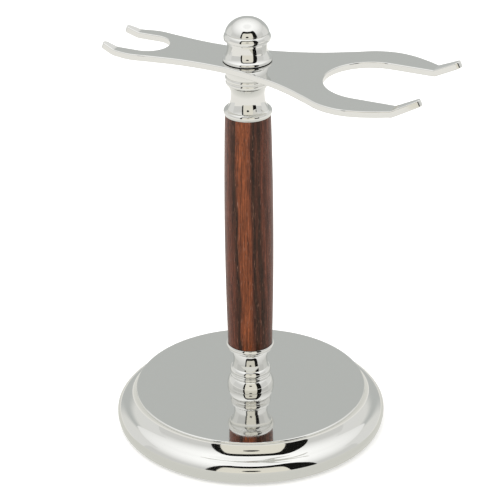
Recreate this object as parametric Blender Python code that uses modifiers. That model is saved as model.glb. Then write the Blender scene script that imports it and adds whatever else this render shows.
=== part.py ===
"""Razor and brush stand: weighted chrome base, wood column, forked hanger and screw-down finial.

The stand is built round one threaded rod. A nut under the base and the finial on top pull the
base, the lower coupler, the wood column, the upper coupler and the fork together.
The origin is on the axis of the column, on the table. The fork's long axis is X, with the brush
fork at +X and the razor fork at -X. Constants are in millimetres, the scene is in metres.
"""
import math

import bmesh
import bpy
from mathutils import Matrix

MM = 0.001
GAP = 0.3               # clearance between faces that touch on the real object
SHARP_ANGLE = math.radians(38.0)
MERGE = 0.00001         # metres

# Base
BASE_RADIUS = 48.0
BASE_FOOT_RADIUS = 46.4
RIM_RADIUS = 0.47       # of the bead round the flat top
RIM_CENTRE = 40.6
SHELL_BOTTOM = 0.8      # the pad stands proud of the shell by this much
SHELL_TOP = 13.6        # flat mirror top
SHELL_WALL = 1.8
SHELL_POCKET_RADIUS = 40.6
SHELL_STEPS = 40
PAD_RADIUS = 44.2
PAD_TOP = 1.7
WEIGHT_RADIUS = 40.2
WEIGHT_SHOULDER = 10.0
WEIGHT_DRAFT = 0.8
WEIGHT_POCKET_RADIUS = 8.5
WEIGHT_POCKET_TOP = 9.2

# Threaded rod and its fasteners (M6)
ROD_RADIUS = 2.95
ROD_HOLE = 3.4
ROD_BOTTOM = 2.2
ROD_TOP = 146.5
NUT_ACROSS_FLATS = 10.0
NUT_BOTTOM = 2.5
NUT_TOP = 5.7
SPRING_WASHER_BOTTOM = 6.0
SPRING_WASHER_TOP = 7.4
SPRING_WASHER_RADIUS = 5.9
SPRING_WASHER_SLIT = 1.2
SPRING_WASHER_SLANT = math.radians(30.0)
FLAT_WASHER_BOTTOM = 7.7
FLAT_WASHER_RADIUS = 6.0

# Column
COLUMN_BOTTOM = 31.1
COLUMN_TOP = 119.1
COLUMN_END_RADIUS = 7.86
COLUMN_SWELL = 0.64     # how much fatter the wood is at mid height
WOOD_BORE = 6.0
TUBE_OUTER = 5.7
TUBE_INNER = 4.9
SPIGOT_RADIUS = 4.6
SPIGOT_LENGTH = 8.0
SPIGOT_CHAMFER = 0.5
TURNED_STEPS = 32
SMALL_STEPS = 24

# Fork
PLATE_BOTTOM = 136.46
PLATE_TOP = 138.66
FORK_EDGE = [           # outer edge of the half plate from the razor end to the brush end
    (-44.6, 10.9), (-38.9, 11.85), (-31.7, 10.85), (-22.1, 9.55), (-13.0, 9.2), (-2.9, 9.8),
    (8.6, 12.2), (19.7, 16.1), (29.8, 21.4), (36.5, 25.2), (43.2, 26.75), (49.5, 26.1),
    (55.7, 23.9), (59.9, 21.85),
]
BRUSH_SLOT_RADIUS = 16.2
BRUSH_SLOT_CENTRE = 45.3
BRUSH_TIP_CENTRE = 68.6
BRUSH_TIP_RADIUS = 1.7
BRUSH_BEND_AT = 59.9
BRUSH_BEND_RADIUS = 3.0
BRUSH_BEND_ANGLE = math.radians(26.0)
RAZOR_SLOT_RADIUS = 7.25
RAZOR_SLOT_CENTRE = -37.35
RAZOR_TIP_CENTRE = -49.5
RAZOR_TIP_RADIUS = 1.25
RAZOR_BEND_AT = -44.6
RAZOR_BEND_RADIUS = 6.0
RAZOR_BEND_ANGLE = math.radians(18.0)
BEND_CUTS = 3

# Finial
FINIAL_FOOT = 138.96
FINIAL_TOP = 153.66
FINIAL_BORE_TOP = 149.3
FINIAL_RECESS_RADIUS = 7.5
FINIAL_RECESS_TOP = 139.7
FINIAL_WASHER_RADIUS = 7.2
FINIAL_WASHER_TOP = 139.4
INSERT_RADIUS = 4.6
INSERT_BORE = 3.3
INSERT_BOTTOM = 139.9
INSERT_TOP = 148.6

MATERIALS = {           # base colour, roughness, metallic
    "chrome": ((0.62, 0.63, 0.63), 0.06, 1.0),
    "cast_iron": ((0.06, 0.06, 0.065), 0.7, 0.8),
    "black_pad": ((0.018, 0.018, 0.02), 0.95, 0.0),
    "zinc_steel": ((0.5, 0.5, 0.48), 0.35, 1.0),
    "brass": ((0.72, 0.5, 0.2), 0.3, 1.0),
    "rosewood": ((0.2, 0.055, 0.025), 0.3, 0.0),
    "nylon": ((0.02, 0.02, 0.02), 0.5, 0.0),
}


def clear_scene():
    """Remove whatever objects the scene holds."""
    for obj in list(bpy.data.objects):
        bpy.data.objects.remove(obj, do_unlink=True)


def make_collection(name):
    """Make a collection and link it to the scene."""
    collection = bpy.data.collections.new(name)
    bpy.context.scene.collection.children.link(collection)
    return collection


def make_materials():
    """Make one Principled material for each finish."""
    made = {}
    for name, (colour, roughness, metallic) in MATERIALS.items():
        material = bpy.data.materials.new(name)
        material.use_nodes = True
        shader = material.node_tree.nodes["Principled BSDF"]
        shader.inputs["Base Color"].default_value = (*colour, 1.0)
        shader.inputs["Roughness"].default_value = roughness
        shader.inputs["Metallic"].default_value = metallic
        material.diffuse_color = (*colour, 1.0)
        made[name] = material
    return made


def add_object(name, data, collection, material=None):
    """Link new object data into a collection, with its own copy of the material."""
    obj = bpy.data.objects.new(name, data)
    collection.objects.link(obj)
    if material is not None:
        own = material.copy()
        own.name = name + "_" + material.name
        data.materials.append(own)
    return obj


def keep_evaluated_mesh(obj):
    """Turn an object's modifiers or curve into a plain mesh and shade it smooth by angle."""
    graph = bpy.context.evaluated_depsgraph_get()
    mesh = bpy.data.meshes.new_from_object(obj.evaluated_get(graph))
    mesh.name = obj.name
    mesh.shade_smooth()
    mesh.set_sharp_from_angle(angle=SHARP_ANGLE)
    return mesh


# Profiles are lists of (radius, height) that run down the outer side and back up the bore.

def arc_through(start, middle, end, steps):
    """Points on the circle through three points, from start to end, both included."""
    (ax, ay), (bx, by), (cx, cy) = start, middle, end
    double = 2.0 * (ax * (by - cy) + bx * (cy - ay) + cx * (ay - by))
    a2 = ax * ax + ay * ay
    b2 = bx * bx + by * by
    c2 = cx * cx + cy * cy
    ux = (a2 * (by - cy) + b2 * (cy - ay) + c2 * (ay - by)) / double
    uy = (a2 * (cx - bx) + b2 * (ax - cx) + c2 * (bx - ax)) / double
    radius = math.hypot(ax - ux, ay - uy)
    first = math.atan2(ay - uy, ax - ux)
    via = (math.atan2(by - uy, bx - ux) - first) % math.tau
    turn = (math.atan2(cy - uy, cx - ux) - first) % math.tau
    if via > turn:
        turn -= math.tau
    return [
        (ux + radius * math.cos(first + turn * i / steps),
         uy + radius * math.sin(first + turn * i / steps))
        for i in range(steps + 1)
    ]


def ellipse_arc(centre, radii, start, end, steps):
    """Points on an ellipse between two angles in degrees, measured from the outward radius."""
    points = []
    for i in range(steps + 1):
        angle = math.radians(start + (end - start) * i / steps)
        points.append((centre[0] + radii[0] * math.cos(angle), centre[1] + radii[1] * math.sin(angle)))
    return points


def hollow_arc(centre, radii, start, end, steps):
    """Points on the inward side of an ellipse, for a cove. Angles are from the inward radius."""
    return [(2.0 * centre[0] - r, z) for r, z in ellipse_arc(centre, radii, start, end, steps)]


def turned(name, profile, closed, steps, collection, material=None):
    """Spin a profile round Z. A closed profile makes a ring, an open one ends on the axis."""
    mesh = bpy.data.meshes.new(name + "_profile")
    shape = bmesh.new()
    verts = [shape.verts.new((r * MM, 0.0, z * MM)) for r, z in profile]
    for first, second in zip(verts, verts[1:]):
        shape.edges.new((first, second))
    if closed:
        shape.edges.new((verts[-1], verts[0]))
    shape.to_mesh(mesh)
    shape.free()
    obj = add_object(name, mesh, collection, material)
    spin = obj.modifiers.new("Screw", "SCREW")
    spin.axis = "Z"
    spin.steps = steps
    spin.render_steps = steps
    spin.use_merge_vertices = True
    spin.merge_threshold = MERGE
    spin.use_normal_calculate = False
    obj.data = keep_evaluated_mesh(obj)
    obj.modifiers.clear()
    return obj


def ring(name, outer, inner, bottom, top, chamfer, steps, collection, material):
    """A plain turned ring with its outer corners chamfered."""
    profile = [
        (inner, top), (outer - chamfer, top), (outer, top - chamfer),
        (outer, bottom + chamfer), (outer - chamfer, bottom), (inner, bottom),
    ]
    return turned(name, profile, True, steps, collection, material)


def make_base_shell(collection, materials):
    """Hollow plated shell: flat top, beaded rim, deep cove, ovolo and an upright edge."""
    cove_end = (45.08, 8.32)
    wall_edge = (47.85, 5.7)
    wall_foot = (47.62, 2.2)
    lip = 44.5
    rim_centre = (RIM_CENTRE, SHELL_TOP - RIM_RADIUS)
    profile = [(ROD_HOLE, SHELL_TOP)]
    profile += ellipse_arc(rim_centre, (RIM_RADIUS, RIM_RADIUS), 90.0, -45.0, 3)
    profile += arc_through(profile[-1], (42.36, 10.0), cove_end, 5)[1:]
    profile += arc_through(cove_end, (46.72, 7.27), wall_edge, 4)[1:]
    profile += arc_through(wall_edge, (BASE_RADIUS, 4.0), wall_foot, 2)[1:]
    profile += arc_through(wall_foot, (47.2, 1.25), (BASE_FOOT_RADIUS, SHELL_BOTTOM), 2)[1:]
    profile += [(lip, SHELL_BOTTOM), (lip, 6.4), (SHELL_POCKET_RADIUS, 8.9)]
    profile += [(SHELL_POCKET_RADIUS, WEIGHT_SHOULDER), (39.2, SHELL_TOP - SHELL_WALL)]
    profile += [(ROD_HOLE, SHELL_TOP - SHELL_WALL)]
    return turned("base_shell", profile, True, SHELL_STEPS, collection, materials["chrome"])


def make_base_weight(collection, materials):
    """Cast ring that fills the shell, with a pocket underneath for the nut and washers."""
    bottom = PAD_TOP + GAP
    top = SHELL_TOP - SHELL_WALL - GAP
    profile = [
        (ROD_HOLE, top), (38.8, top), (WEIGHT_RADIUS, WEIGHT_SHOULDER),
        (WEIGHT_RADIUS, bottom + WEIGHT_DRAFT), (WEIGHT_RADIUS - WEIGHT_DRAFT, bottom),
        (WEIGHT_POCKET_RADIUS, bottom),
        (WEIGHT_POCKET_RADIUS, WEIGHT_POCKET_TOP), (ROD_HOLE, WEIGHT_POCKET_TOP),
    ]
    return turned("base_weight", profile, True, TURNED_STEPS, collection, materials["cast_iron"])


def make_base_pad(collection, materials):
    """Soft disc glued under the base."""
    edge = 0.4
    profile = [
        (0.0, PAD_TOP), (PAD_RADIUS, PAD_TOP), (PAD_RADIUS, edge), (PAD_RADIUS - edge, 0.0), (0.0, 0.0),
    ]
    return turned("base_pad", profile, False, TURNED_STEPS, collection, materials["black_pad"])


def make_tie_rod(collection, materials):
    """Threaded rod, drawn at its outside diameter with chamfered ends."""
    chamfer = 0.8
    profile = [
        (0.0, ROD_TOP), (ROD_RADIUS - chamfer, ROD_TOP), (ROD_RADIUS, ROD_TOP - chamfer),
        (ROD_RADIUS, ROD_BOTTOM + chamfer), (ROD_RADIUS - chamfer, ROD_BOTTOM), (0.0, ROD_BOTTOM),
    ]
    return turned("tie_rod", profile, False, SMALL_STEPS, collection, materials["zinc_steel"])


def add_boolean(target, cutter, operation):
    """Cut a body with another, and hide the other one."""
    step = target.modifiers.new("Boolean", "BOOLEAN")
    step.operation = operation
    step.solver = "EXACT"
    step.object = cutter
    cutter.hide_render = True
    cutter.display_type = "WIRE"


def make_rod_nut(collection, cutters, materials):
    """Thin hexagon nut: a six-sided prism with a bore, its corners cut back by a cone."""
    height = (NUT_TOP - NUT_BOTTOM) * MM
    corner = NUT_ACROSS_FLATS / math.sqrt(3.0)
    mesh = bpy.data.meshes.new("rod_nut")
    shape = bmesh.new()
    bmesh.ops.create_cone(
        shape, cap_ends=True, segments=6, radius1=corner * MM, radius2=corner * MM, depth=height,
        matrix=Matrix.Translation((0.0, 0.0, (NUT_TOP + NUT_BOTTOM) / 2.0 * MM)),
    )
    shape.to_mesh(mesh)
    shape.free()
    nut = add_object("rod_nut", mesh, collection, materials["zinc_steel"])
    bevel = 1.0
    outside = 1.0
    narrow = corner - bevel - 1.8 * outside
    blank = [
        (INSERT_BORE, NUT_TOP + outside), (narrow, NUT_TOP + outside),
        (corner + outside, NUT_TOP - bevel), (corner + outside, NUT_BOTTOM + bevel),
        (narrow, NUT_BOTTOM - outside), (INSERT_BORE, NUT_BOTTOM - outside),
    ]
    cutter = turned("rod_nut_blank", blank, True, SMALL_STEPS, cutters)
    add_boolean(nut, cutter, "INTERSECT")
    return nut


def make_spring_washer(collection, cutters, materials):
    """Lock washer: a square-section ring with a slanting slit through one side."""
    washer = ring(
        "spring_washer", SPRING_WASHER_RADIUS, ROD_HOLE, SPRING_WASHER_BOTTOM, SPRING_WASHER_TOP,
        0.2, SMALL_STEPS, collection, materials["zinc_steel"],
    )
    mesh = bpy.data.meshes.new("spring_washer_slit")
    shape = bmesh.new()
    bmesh.ops.create_cube(shape, size=1.0)
    reach = 6.0
    bmesh.ops.scale(shape, vec=(reach * MM, SPRING_WASHER_SLIT * MM, reach * MM), verts=shape.verts)
    shape.to_mesh(mesh)
    shape.free()
    slit = add_object("spring_washer_slit", mesh, cutters)
    middle = (SPRING_WASHER_BOTTOM + SPRING_WASHER_TOP) / 2.0
    slit.location = (0.5 * (SPRING_WASHER_RADIUS + ROD_HOLE) * MM, 0.0, middle * MM)
    slit.rotation_euler = (SPRING_WASHER_SLANT, 0.0, 0.0)
    add_boolean(washer, slit, "DIFFERENCE")
    return washer


def make_lower_coupler(collection, materials):
    """Turned foot of the column: flange, long cove, two beads and a swelling foot, with a spigot."""
    foot = SHELL_TOP + GAP
    spigot_top = COLUMN_BOTTOM + SPIGOT_LENGTH
    profile = [(ROD_HOLE, spigot_top), (SPIGOT_RADIUS - SPIGOT_CHAMFER, spigot_top)]
    profile += [(SPIGOT_RADIUS, spigot_top - SPIGOT_CHAMFER), (SPIGOT_RADIUS, COLUMN_BOTTOM)]
    profile += arc_through((8.15, COLUMN_BOTTOM), (8.46, 30.1), (7.95, 29.1), 3)
    profile += hollow_arc((7.9, 23.7), (1.85, 5.3), 90.0, 0.0, 5)[1:]
    profile += arc_through((6.35, 21.6), (7.25, 20.2), (7.0, 19.05), 4)
    profile += arc_through((6.9, 18.8), (7.2, 18.25), (6.9, 17.7), 2)
    profile += arc_through((7.15, 17.5), (8.1, 15.8), (8.33, foot), 4)
    profile += [(ROD_HOLE, foot)]
    return turned("lower_coupler", profile, True, TURNED_STEPS, collection, materials["chrome"])


def make_upper_coupler(collection, materials):
    """Turned head of the column: fork seat, bead, ridge, cove and a lipped collar, with a spigot."""
    seat = PLATE_BOTTOM - GAP
    spigot_bottom = COLUMN_TOP - SPIGOT_LENGTH
    profile = [(ROD_HOLE, seat)]
    profile += arc_through((7.75, seat), (7.4, 134.4), (7.3, 133.4), 2)
    profile += arc_through((7.25, 133.25), (7.62, 132.5), (7.3, 131.75), 2)
    profile += arc_through((7.3, 131.6), (7.5, 130.9), (6.95, 130.0), 2)
    profile += arc_through((6.8, 129.85), (6.0, 128.1), (5.81, 125.4), 3)
    profile += hollow_arc((13.01, 125.4), (7.2, -7.2), 0.0, 35.0, 3)[1:]
    profile += ellipse_arc((6.9, 120.2), (1.43, 1.28), 75.0, -25.0, 4)
    profile += [(7.95, COLUMN_TOP), (SPIGOT_RADIUS, COLUMN_TOP)]
    profile += [(SPIGOT_RADIUS, spigot_bottom + SPIGOT_CHAMFER)]
    profile += [(SPIGOT_RADIUS - SPIGOT_CHAMFER, spigot_bottom), (ROD_HOLE, spigot_bottom)]
    return turned("upper_coupler", profile, True, TURNED_STEPS, collection, materials["chrome"])


def make_wood_column(collection, materials):
    """Barrel-shaped wood sleeve with a straight bore."""
    bottom = COLUMN_BOTTOM + GAP
    top = COLUMN_TOP - GAP
    middle = (bottom + top) / 2.0
    swell = (COLUMN_END_RADIUS + COLUMN_SWELL, middle)
    profile = [(WOOD_BORE, top)]
    profile += arc_through((COLUMN_END_RADIUS, top), swell, (COLUMN_END_RADIUS, bottom), 12)
    profile += [(WOOD_BORE, bottom)]
    return turned("wood_column", profile, True, TURNED_STEPS, collection, materials["rosewood"])


def make_column_tube(collection, materials):
    """Brass tube glued inside the wood; the couplers' spigots slide into its ends."""
    return ring(
        "column_tube", TUBE_OUTER, TUBE_INNER, COLUMN_BOTTOM + GAP, COLUMN_TOP - GAP,
        0.2, SMALL_STEPS, collection, materials["brass"],
    )


def smooth_through(points, steps):
    """A smooth curve through a list of points, with this many steps to each span."""
    count = len(points)
    curve = []
    for i in range(count - 1):
        before = points[max(i - 1, 0)]
        start = points[i]
        end = points[i + 1]
        after = points[min(i + 2, count - 1)]
        for k in range(steps):
            t = k / steps
            curve.append(tuple(
                0.5 * (2.0 * s + (e - b) * t + (2.0 * b - 5.0 * s + 4.0 * e - a) * t ** 2
                       + (3.0 * s - b - 3.0 * e + a) * t ** 3)
                for b, s, e, a in zip(before, start, end, after)
            ))
    curve.append(points[-1])
    return curve


def fork_half_outline():
    """Upper half of the flat plate: razor slot, razor tip, outer edge, brush tip, brush slot."""
    razor = ellipse_arc((RAZOR_SLOT_CENTRE, 0.0), (RAZOR_SLOT_RADIUS,) * 2, 0.0, 90.0, 8)
    tip_y = RAZOR_SLOT_RADIUS + RAZOR_TIP_RADIUS
    razor += ellipse_arc((RAZOR_TIP_CENTRE, tip_y), (RAZOR_TIP_RADIUS,) * 2, 270.0, 100.0, 5)
    edge = smooth_through(FORK_EDGE, 2)
    tip_y = BRUSH_SLOT_RADIUS + BRUSH_TIP_RADIUS
    brush = ellipse_arc((BRUSH_TIP_CENTRE, tip_y), (BRUSH_TIP_RADIUS,) * 2, 75.0, -90.0, 5)
    brush += ellipse_arc((BRUSH_SLOT_CENTRE, 0.0), (BRUSH_SLOT_RADIUS,) * 2, 90.0, 180.0, 10)
    return razor + edge + brush


def bent(x, z, start, radius, angle):
    """Where a point of the flat plate goes when the plate is bent up past a line at start."""
    middle = 0.5 * (PLATE_TOP + PLATE_BOTTOM)
    side = 1.0 if start > 0.0 else -1.0
    along = (x - start) * side
    if along <= 0.0:
        return x, z
    turn = min(along / radius, angle)
    rest = along - turn * radius
    reach = radius * math.sin(turn) + rest * math.cos(turn) - (z - middle) * math.sin(turn)
    rise = radius * (1.0 - math.cos(turn)) + rest * math.sin(turn) + (z - middle) * math.cos(turn)
    return start + side * reach, middle + rise


def bend_lines():
    """Lines where the plate is cut so that its faces follow the bends."""
    lines = []
    for i in range(BEND_CUTS + 1):
        share = i / BEND_CUTS
        lines.append(BRUSH_BEND_AT + BRUSH_BEND_RADIUS * BRUSH_BEND_ANGLE * share)
        lines.append(RAZOR_BEND_AT - RAZOR_BEND_RADIUS * RAZOR_BEND_ANGLE * share)
    return lines


def make_fork_plate(collection, materials):
    """Flat plate with a wide fork for the brush and a narrow one for the razor, tips bent up."""
    half = fork_half_outline()
    nearly_zero = 0.001
    other = [(x, -y) for x, y in reversed(half) if y > nearly_zero]
    hole = ellipse_arc((0.0, 0.0), (ROD_HOLE, ROD_HOLE), 0.0, 360.0, 24)[:-1]
    curve = bpy.data.curves.new("fork_outline", "CURVE")
    curve.dimensions = "2D"
    curve.fill_mode = "BOTH"
    curve.extrude = 0.5 * (PLATE_TOP - PLATE_BOTTOM) * MM
    for loop in (half + other, hole):
        spline = curve.splines.new("POLY")
        spline.points.add(len(loop) - 1)
        spline.use_cyclic_u = True
        for point, (x, y) in zip(spline.points, loop):
            point.co = (x * MM, y * MM, 0.0, 1.0)
    flat = add_object("fork_flat", curve, collection)
    flat.location = (0.0, 0.0, 0.5 * (PLATE_TOP + PLATE_BOTTOM) * MM)
    bpy.context.view_layer.update()
    mesh = keep_evaluated_mesh(flat)
    mesh.transform(flat.matrix_world)
    bpy.data.objects.remove(flat)

    shape = bmesh.new()
    shape.from_mesh(mesh)
    bmesh.ops.remove_doubles(shape, verts=shape.verts, dist=MERGE)
    for line in bend_lines():
        bmesh.ops.bisect_plane(
            shape, geom=shape.verts[:] + shape.edges[:] + shape.faces[:], dist=MERGE * 0.1,
            plane_co=(line * MM, 0.0, 0.0), plane_no=(1.0, 0.0, 0.0),
        )
    for vert in shape.verts:
        x, z = vert.co.x / MM, vert.co.z / MM
        x, z = bent(x, z, BRUSH_BEND_AT, BRUSH_BEND_RADIUS, BRUSH_BEND_ANGLE)
        x, z = bent(x, z, RAZOR_BEND_AT, RAZOR_BEND_RADIUS, RAZOR_BEND_ANGLE)
        vert.co = (x * MM, vert.co.y, z * MM)
    bmesh.ops.triangulate(shape, faces=shape.faces)
    bmesh.ops.recalc_face_normals(shape, faces=shape.faces)
    shape.to_mesh(mesh)
    shape.free()
    mesh.name = "fork_plate"
    mesh.set_sharp_from_angle(angle=SHARP_ANGLE)
    return add_object("fork_plate", mesh, collection, materials["chrome"])


def make_finial_washer(collection, materials):
    """Thin washer in the finial's recess; it keeps the finial off the fork's polish."""
    return ring(
        "finial_washer", FINIAL_WASHER_RADIUS, ROD_HOLE, PLATE_TOP + GAP, FINIAL_WASHER_TOP,
        0.1, TURNED_STEPS, collection, materials["nylon"],
    )


def make_finial_cap(collection, materials):
    """Turned knob: low dome, bead, waist and spreading foot, bored from below."""
    dome_centre = 147.4
    bead_radius = 2.0
    profile = ellipse_arc((0.0, dome_centre), (7.6, FINIAL_TOP - dome_centre), 90.0, 13.8, 7)
    profile[0] = (0.0, FINIAL_TOP)
    profile += ellipse_arc((6.0, 146.87), (bead_radius, bead_radius), 62.0, -20.0, 4)
    profile += [(6.78, 145.6)]
    profile += hollow_arc((8.69, 143.6), (1.95, -3.9), -20.0, 75.0, 6)
    profile += arc_through(profile[-1], (8.44, 139.45), (8.36, FINIAL_FOOT), 2)[1:]
    profile += [
        (FINIAL_RECESS_RADIUS, FINIAL_FOOT), (FINIAL_RECESS_RADIUS, FINIAL_RECESS_TOP),
        (INSERT_RADIUS + GAP, FINIAL_RECESS_TOP), (INSERT_RADIUS + GAP, FINIAL_BORE_TOP),
        (0.0, FINIAL_BORE_TOP),
    ]
    return turned("finial_cap", profile, False, TURNED_STEPS, collection, materials["chrome"])


def make_finial_insert(collection, materials):
    """Brass threaded bush pressed into the finial, with a groove between two gripping bands."""
    groove = 0.4
    groove_bottom = INSERT_BOTTOM + 0.4 * (INSERT_TOP - INSERT_BOTTOM)
    groove_top = INSERT_BOTTOM + 0.6 * (INSERT_TOP - INSERT_BOTTOM)
    profile = [
        (INSERT_BORE, INSERT_TOP), (INSERT_RADIUS - groove, INSERT_TOP),
        (INSERT_RADIUS, INSERT_TOP - groove), (INSERT_RADIUS, groove_top),
        (INSERT_RADIUS - groove, groove_top - groove), (INSERT_RADIUS - groove, groove_bottom + groove),
        (INSERT_RADIUS, groove_bottom), (INSERT_RADIUS, INSERT_BOTTOM + groove),
        (INSERT_RADIUS - groove, INSERT_BOTTOM), (INSERT_BORE, INSERT_BOTTOM),
    ]
    return turned("finial_insert", profile, True, SMALL_STEPS, collection, materials["brass"])


def place_on_axis(name, height, pieces, collection):
    """Parent the pieces that move together to an empty on their joint's axis."""
    pivot = bpy.data.objects.new(name, None)
    pivot.empty_display_size = 0.01
    pivot.location = (0.0, 0.0, height * MM)
    collection.objects.link(pivot)
    for piece in pieces:
        piece.parent = pivot
        piece.matrix_parent_inverse = Matrix.Translation((0.0, 0.0, -height * MM))


def main():
    clear_scene()
    parts = make_collection("razor_stand")
    cutters = make_collection("cutters")
    materials = make_materials()
    make_base_shell(parts, materials)
    make_base_weight(parts, materials)
    make_base_pad(parts, materials)
    make_tie_rod(parts, materials)
    make_rod_nut(parts, cutters, materials)
    make_spring_washer(parts, cutters, materials)
    ring(
        "flat_washer", FLAT_WASHER_RADIUS, ROD_HOLE, FLAT_WASHER_BOTTOM, WEIGHT_POCKET_TOP - GAP,
        0.15, SMALL_STEPS, parts, materials["zinc_steel"],
    )
    make_lower_coupler(parts, materials)
    make_column_tube(parts, materials)
    make_wood_column(parts, materials)
    make_upper_coupler(parts, materials)
    fork = make_fork_plate(parts, materials)
    washer = make_finial_washer(parts, materials)
    cap = make_finial_cap(parts, materials)
    insert = make_finial_insert(parts, materials)
    place_on_axis("fork_pivot", PLATE_BOTTOM, [fork], parts)
    place_on_axis("finial_pivot", FINIAL_FOOT, [washer, cap, insert], parts)


main()
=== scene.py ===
"""Razor and brush stand: the visible model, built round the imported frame.

Heights and radii are in millimetres in the profiles and in metres everywhere else. The column's
axis is Z, the fork's long axis is X, and the brush fork is at +X.
"""

import math

import bmesh
import bpy
from bpy.props import FloatProperty, FloatVectorProperty, IntProperty, PointerProperty
from mathutils import Matrix, Vector, noise


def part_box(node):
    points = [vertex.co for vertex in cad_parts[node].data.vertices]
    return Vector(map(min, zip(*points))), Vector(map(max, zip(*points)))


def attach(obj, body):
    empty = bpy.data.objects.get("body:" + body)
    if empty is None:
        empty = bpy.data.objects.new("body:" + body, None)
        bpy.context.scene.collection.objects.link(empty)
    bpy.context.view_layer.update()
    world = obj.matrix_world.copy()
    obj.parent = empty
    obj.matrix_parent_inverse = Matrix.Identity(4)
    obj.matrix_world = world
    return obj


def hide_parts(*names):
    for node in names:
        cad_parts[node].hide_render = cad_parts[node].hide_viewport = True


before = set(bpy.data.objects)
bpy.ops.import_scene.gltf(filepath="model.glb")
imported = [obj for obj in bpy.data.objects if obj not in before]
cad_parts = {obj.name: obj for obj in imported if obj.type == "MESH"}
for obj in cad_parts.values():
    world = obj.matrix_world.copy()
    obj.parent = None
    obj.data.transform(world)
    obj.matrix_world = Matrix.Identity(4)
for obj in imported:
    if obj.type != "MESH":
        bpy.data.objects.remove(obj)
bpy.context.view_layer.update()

bl_info = {
    "name": "Razor stand",
    "version": (1, 0, 0),
    "blender": (4, 5, 0),
    "location": "3D View > Sidebar > Razor stand",
    "description": "Builds a turned razor and brush stand in chrome and rosewood",
    "category": "Add Mesh",
}

MM = 0.001


def low(node):
    """Lowest corner of a CAD node, in millimetres."""
    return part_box(node)[0] / MM


def high(node):
    """Highest corner of a CAD node, in millimetres."""
    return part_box(node)[1] / MM


GAP = 0.3                                   # clearance the CAD keeps between touching pieces
BASE_RADIUS = high("base_shell").x
SHELL_BOTTOM = low("base_shell").z
SHELL_TOP = low("lower_coupler").z - GAP
SHELL_UNDERSIDE = high("base_weight").z + GAP
COLUMN_BOTTOM = low("wood_column").z - GAP
COLUMN_TOP = high("wood_column").z + GAP
PLATE_BOTTOM = low("fork_plate").z
PLATE_THICKNESS = 2.2
PLATE_TOP = PLATE_BOTTOM + PLATE_THICKNESS
FINIAL_TOP = high("finial_cap").z
JOINT_GAP = 0.03                            # hairline left where a moving piece sits on another
FOOT_GAP = 0.26                             # shadow line under the finial, which rests on its washer
ROD_HOLE = 3.4
SPIGOT_RADIUS = 4.6                         # of both couplers, where they slide into the tube
SPIGOT_CHAMFER = 0.5

CORNER_ANGLE = math.radians(11.0)           # a profile corner sharper than this is rounded
KINK_ANGLE = math.radians(2.5)              # a long face beside a sharper turn gets a support row
ROUND_STEPS = 5                             # faces across a rounded corner
SUPPORT = 0.05                              # how far a support row stands from its corner
LONG_SPAN = 0.4                             # shorter faces get no support rows
ARC_STEPS = 18                              # faces along an arc, unless it says otherwise
SMALL_FACETS = 96                           # faces round the hidden fasteners and bushes

# Half outline of the fork's outer edge, from the razor prong to the brush prong
FORK_EDGE = [
    (-44.6, 10.9), (-38.9, 11.85), (-31.7, 10.85), (-22.1, 9.55), (-13.0, 9.2), (-2.9, 9.8),
    (8.6, 12.2), (19.7, 16.1), (29.8, 21.4), (36.5, 25.2), (43.2, 26.75), (49.5, 26.1),
    (55.7, 23.9), (59.9, 21.85),
]
BRUSH_SLOT = (45.3, 16.2)                   # centre on X, radius
BRUSH_TIP = (68.6, 1.7)
BRUSH_BEND = (60.0, 1.7, math.radians(26.0))    # start on X, radius at mid thickness, angle
RAZOR_SLOT = (-37.35, 7.25)
RAZOR_TIP = (-49.5, 1.25)
RAZOR_BEND = (-44.6, 6.0, math.radians(18.0))
BEND_CUTS = 8                               # faces along each bend


# ---------------------------------------------------------------------------------------------
# Sizes, finishes and studio settings a user can change
# ---------------------------------------------------------------------------------------------

class RazorStandSizes(bpy.types.PropertyGroup):
    """Sizes of the visible details."""
    corner_round: FloatProperty(
        name="Corner rounding", description="Radius on the edges of turned pieces",
        default=0.00013, min=0.00002, max=0.0005, precision=5, unit="LENGTH",
    )
    fork_round: FloatProperty(
        name="Fork edge rounding", description="Radius along the edges of the fork",
        default=0.00032, min=0.0001, max=0.0009, precision=5, unit="LENGTH",
    )
    wood_end_radius: FloatProperty(
        name="Wood end radius", description="Radius of the wood where it meets the couplers",
        default=0.00786, min=0.0065, max=0.0082, precision=5, unit="LENGTH",
    )
    wood_swell: FloatProperty(
        name="Wood swell", description="How much fatter the wood is at mid height",
        default=0.00064, min=0.0, max=0.0015, precision=5, unit="LENGTH",
    )
    thread_pitch: FloatProperty(
        name="Thread pitch", description="Rise of the rod's thread in one turn",
        default=0.001, min=0.0005, max=0.002, precision=5, unit="LENGTH",
    )
    thread_depth: FloatProperty(
        name="Thread depth", description="Depth of the rod's thread",
        default=0.00052, min=0.0001, max=0.0008, precision=5, unit="LENGTH",
    )
    facets: IntProperty(
        name="Facets", description="Number of faces round a turned piece",
        default=192, min=48, max=512,
    )


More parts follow.
